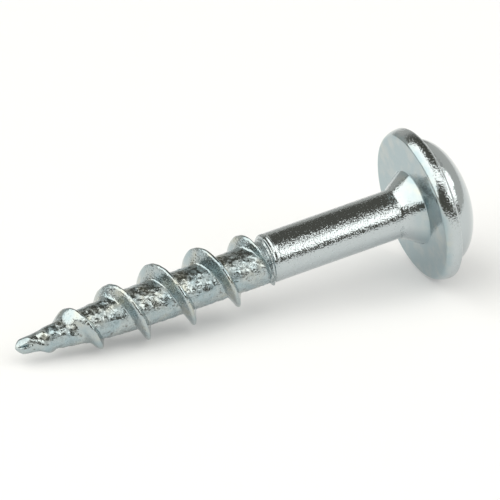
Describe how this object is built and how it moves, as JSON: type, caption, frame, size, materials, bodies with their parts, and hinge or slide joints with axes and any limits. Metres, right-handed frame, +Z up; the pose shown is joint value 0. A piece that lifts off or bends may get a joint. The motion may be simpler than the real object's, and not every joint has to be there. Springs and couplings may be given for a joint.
{
  "type": "pocket hole screw",
  "caption": "Wood screw with a wide flanged dome head, a square drive recess, a smooth shank, and a coarse deep thread that tapers to a blunt point.",
  "frame": {"origin": "centre of the bounding box, on the surface that the screw lies on", "axes": "+Z up; +X along the screw towards its head, which lies on the rim of its flange, so the screw's own axis rises 7.4 degrees from +X"},
  "size_m": [0.0284, 0.009, 0.009],
  "materials": {
    "zinc": "steel with bright, glossy zinc plating, faintly mottled, rough and dimpled between the turns of the thread"
  },
  "bodies": {
    "root": {"screw": "zinc"}
  },
  "joints": []
}
